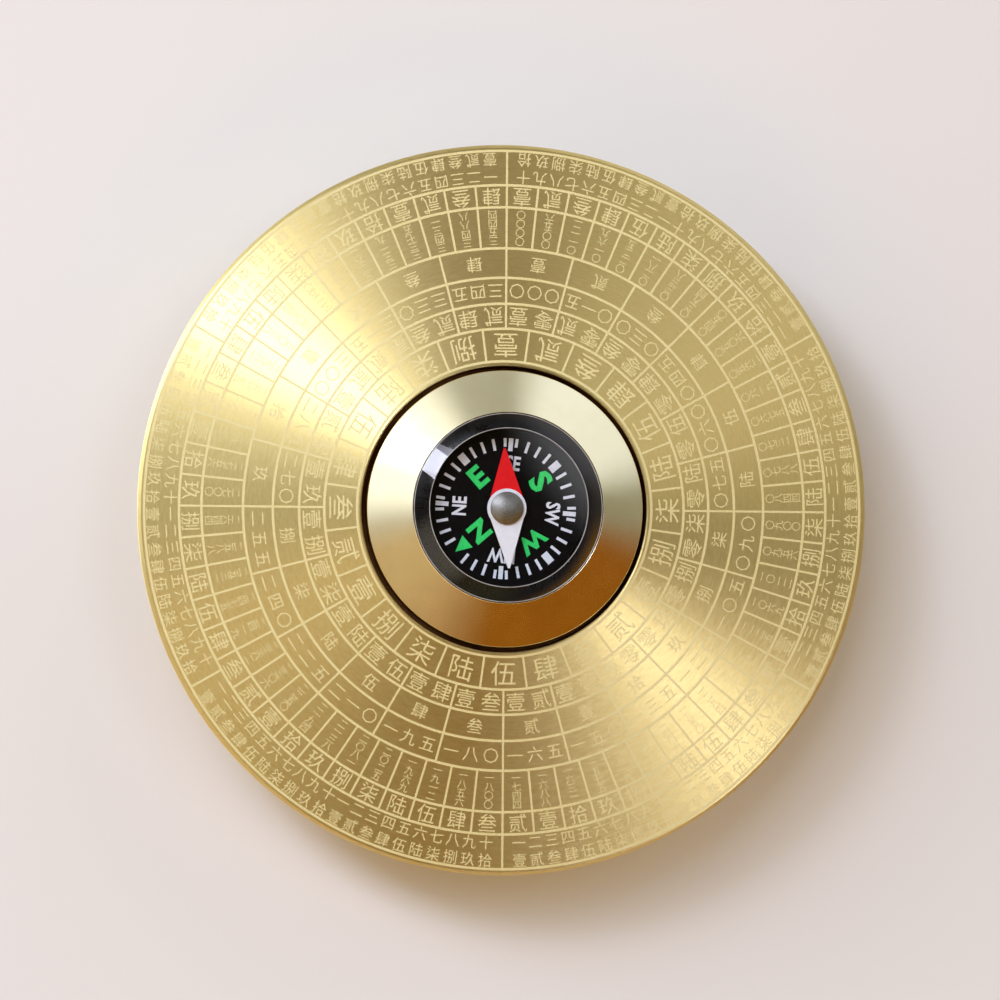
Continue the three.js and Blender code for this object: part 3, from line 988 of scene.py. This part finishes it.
def fill_rows(bands):
    """Two rows of numerals by the rim, which start again in each sector."""
    sector = 360 / SECTORS
    step = (sector - 2 * ROW_MARGIN) / ROW_COUNT
    for n in range(SECTORS):
        for radius, digits in ROWS:
            for k in range(ROW_COUNT):
                angle = sector * (n + 1) - ROW_MARGIN - step * (k + 0.5)
                bands[ROW_BAND].write(digits[1 + k % 10], radius, angle, ROW_EM)


def fill_small_cells(bands):
    """A numeral in each small cell, and under it the cell's angle, stacked, in tenths."""
    low = RING_RADII[STACK_BAND + 1] + LINE_WIDTH / 2 + STACK_MARGIN
    step = (RING_RADII[STACK_BAND] - LINE_WIDTH / 2 - STACK_MARGIN - low) / STACK_DIGITS
    for n in range(SMALL_CELLS):
        angle = 360 / SMALL_CELLS * (n + 0.5)
        numeral = FORMAL_DIGITS[1 + n % 10]
        bands[SMALL_BAND].write(numeral, band_middle(SMALL_BAND), angle, SMALL_EM)
        tenths = round(3600 / SMALL_CELLS * n)
        for k, digit in enumerate(str(tenths).zfill(STACK_DIGITS)):
            radius = low + step * (k + 0.5)
            bands[STACK_BAND].write(PLAIN_DIGITS[int(digit)], radius, angle, STACK_EM)


def fill_cells(bands):
    """In each cell a numeral, its angle in degrees, its number and a large numeral.

    The first two change places between the upper and the lower half of the disc.
    """
    for n in range(CELLS):
        angle = 360 / CELLS * (n + 0.5)
        single, triple = OUTER_MIXED, INNER_MIXED
        if math.cos(math.radians(angle)) <= 0:
            single, triple = triple, single
        bands[single].write(FORMAL_DIGITS[1 + n % 10], band_middle(single), angle, TRIPLE_EM)
        for k, digit in enumerate(f"{360 // CELLS * n:03d}"):
            place = angle + TRIPLE_STEP * (1 - k)
            bands[triple].write(PLAIN_DIGITS[int(digit)], band_middle(triple), place, TRIPLE_EM)
        for k, digit in enumerate(f"{n + 1:02d}"):
            place = angle + PAIR_STEP * (1 - 2 * k)
            numeral = FORMAL_DIGITS[int(digit)]
            bands[PAIR_BAND].write(numeral, band_middle(PAIR_BAND), place, PAIR_EM)
        numeral = FORMAL_DIGITS[1 + n % LARGE_CYCLE]
        bands[LARGE_BAND].write(numeral, band_middle(LARGE_BAND), 360 / CELLS * n, LARGE_EM)


def make_marks():
    low, high = FACE - MARK_SUNK, FACE + MARK_PROUD
    bands = [Plates(low, high, MARK_TURN) for _ in BAND_CELLS]
    lines = Plates(low, high, MARK_TURN)
    draw_lines(lines)
    fill_rows(bands)
    fill_small_cells(bands)
    fill_cells(bands)
    for n, band in enumerate(bands):
        place_piece(band.make(f"marks_ring_{n + 1}"), MARKING, "spinner", "turned_brass")
    place_piece(lines.make("marks_lines"), MARKING, "spinner", "turned_brass")


def make_dial():
    hole = PIN_HIGH.x + DIAL_CLEARANCE
    profile = [
        (hole, DIAL_LOW.z),
        (DIAL_HIGH.x, DIAL_LOW.z),
        (DIAL_HIGH.x, DIAL_HIGH.z),
        (hole, DIAL_HIGH.z),
    ]
    card = turned("dial_disc", profile, ring=True)
    place_piece(card, CARD, "hub", "dial_card", "dial")


def draw_ticks(white):
    """A tick at every step but the cardinal ones, long ones between those, and three blocks."""
    step = 360 // TICKS
    for k in range(TICKS):
        from_cardinal = step * k % 90
        if from_cardinal == 0:
            continue
        beside_long = abs(from_cardinal - 45) < step
        inner = TICK_SHORT_INNER if beside_long else TICK_INNER
        white.bar(inner, TICK_OUTER, NORTH + step * k, TICK_WIDTH)
    for k in range(4):
        white.bar(TICK_LONG_INNER, TICK_OUTER, NORTH + 45 + 90 * k, TICK_LONG_WIDTH)
        if k:
            white.bar(TICK_INNER, TICK_OUTER, NORTH + 90 * k, BLOCK_WIDTH)


def make_print():
    top = DIAL_HIGH.z + PRINT_THICKNESS
    white = Plates(DIAL_HIGH.z, top)
    green = Plates(DIAL_HIGH.z, top)
    draw_ticks(white)
    arrow = [(-ARROW_HALF_WIDTH, ARROW_BASE), (ARROW_HALF_WIDTH, ARROW_BASE), (0, ARROW_TIP)]
    green.outline(arrow, NORTH)
    single = {"outward": True, "width": LETTER_WIDTH, "bold": LETTER_BOLD}
    for letter, radius, angle, share in LETTERS:
        green.write(letter, radius * MM, angle, LETTER_EM * share, **single)
    pair = {"outward": True, "width": PAIR_LETTER_WIDTH, "bold": PAIR_LETTER_BOLD}
    for letters, radius, angle in PAIRS:
        white.write(letters, radius * MM, angle, PAIR_LETTER_EM, **pair)
    place_piece(white.make("dial_print_white"), PRINT_WHITE, "hub", "dial_card")
    place_piece(green.make("dial_print_green"), PRINT_GREEN, "hub", "dial_card")


def finish_solids():
    """Materials of the solids that show as they are."""
    kept = {
        "bearing_shield_top": STEEL,
        "bearing_shield_bottom": STEEL,
        "bearing_cage": NYLON,
        "adhesive_pad": ADHESIVE,
        "pivot_pin": PIN,
    }
    for node, material in kept.items():
        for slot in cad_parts[node].material_slots:
            slot.material = material


# Stage


def make_floor():
    signs = ((-1, -1), (1, -1), (1, 1), (-1, 1))
    corners = [(x * FLOOR_REACH, y * FLOOR_REACH, 0) for x, y in signs]
    floor = make_mesh("floor", corners, [(0, 1, 2, 3)])
    m = Finish("floor_paper", linear(232, 231, 221), roughness=0.9)
    cloud = m.noise(m.place(), 6.0)
    m.colours(cloud, linear(230, 229, 219), linear(235, 234, 224))
    floor.data.materials.append(m.material)


def towards(azimuth, elevation):
    """A direction in space. Its azimuth runs clockwise from the top of the picture."""
    height = math.radians(elevation)
    flat = facing(azimuth) * math.cos(height)
    return Vector((flat.x, flat.y, math.sin(height)))


def make_lamp(name, low_end, high_end, strength):
    """A long rectangular lamp that faces the disc, between two ends."""
    low, high = towards(*low_end) * KEY_DISTANCE, towards(*high_end) * KEY_DISTANCE
    along = (high - low).normalized()
    middle = (low + high) / 2
    away = (middle - along * middle.dot(along)).normalized()
    lamp = bpy.data.lights.new(name, "AREA")
    lamp.shape = "RECTANGLE"
    lamp.size = KEY_WIDTH
    lamp.size_y = (high - low).length
    lamp.energy = strength * math.pi * lamp.size * lamp.size_y
    lamp.color = KEY_COLOUR
    turn = Matrix((along.cross(away), along, away)).transposed().to_4x4()
    obj = link(bpy.data.objects.new(name, lamp))
    obj.matrix_world = Matrix.Translation(middle + Vector((0, 0, FACE))) @ turn


def make_world():
    """A dim studio, neutral above and warm brown towards the bottom, with soft panels."""
    world = bpy.data.worlds.new("studio")
    bpy.context.scene.world = world
    world.use_nodes = True
    t = Tree(world.node_tree)
    way = t.add("ShaderNodeTexCoord").outputs["Generated"]
    x, y, z = t.add("ShaderNodeSeparateXYZ", {0: way}).outputs
    warm = t.spread(y, 1, 0, *WARM_FADE, "SMOOTHSTEP")
    cool_low = t.mix(t.spread(x, 0, 1, *COOL_FADE), COOL_LEFT, COOL_RIGHT)
    warm_low = t.mix(t.spread(x, 0, 1, *WARM_SIDE_FADE), WARM_LEFT, WARM_LOW)
    low = t.mix(warm, cool_low, warm_low)
    middle = t.mix(warm, COOL_MIDDLE, WARM_MIDDLE)
    sky = t.mix(t.spread(z, 0, 1, *MIDDLE_FADE, "SMOOTHSTEP"), low, middle)
    sky = t.mix(t.spread(z, 0, 1, *ZENITH_FADE, "SMOOTHSTEP"), sky, ZENITH)
    for azimuth, elevation, inner, outer, colour in PANELS:
        inputs = {0: way, 1: towards(azimuth, elevation)}
        dot = t.add("ShaderNodeVectorMath", inputs, operation="DOT_PRODUCT").outputs["Value"]
        edge, core = math.cos(math.radians(outer)), math.cos(math.radians(inner))
        sky = t.mix(t.spread(dot, 0, 1, edge, core, "SMOOTHSTEP"), sky, colour, "ADD")
    t.set(t.tree.nodes["Background"], "Color", sky)


def make_camera():
    data = bpy.data.cameras.new("camera")
    data.sensor_width = CAMERA_SENSOR
    data.lens = CAMERA_LENS
    data.clip_start = CAMERA_NEAR
    data.clip_end = CAMERA_FAR
    camera = link(bpy.data.objects.new("camera", data))
    back = Vector(CAMERA_DIRECTION).normalized()
    right = Vector((0, 1, 0)).cross(back).normalized()
    up = back.cross(right)
    aside = right * CAMERA_AIM[0] + up * CAMERA_AIM[1]
    spot = Vector((0, 0, FACE)) + back * CAMERA_DISTANCE + aside
    turn = Matrix((right, up, back)).transposed().to_4x4()
    camera.matrix_world = Matrix.Translation(spot) @ turn
    bpy.context.scene.camera = camera


make_disc()
make_top_cap()
make_bottom_cap()
make_inner_race()
make_outer_race()
make_balls()
make_cup()
make_lens()
make_blade()
make_needle_cap()
make_marks()
make_dial()
make_print()
finish_solids()
make_floor()
make_world()
for lamp_values in LAMPS:
    make_lamp(*lamp_values)
make_camera()
bpy.context.scene.view_settings.view_transform = "Standard"
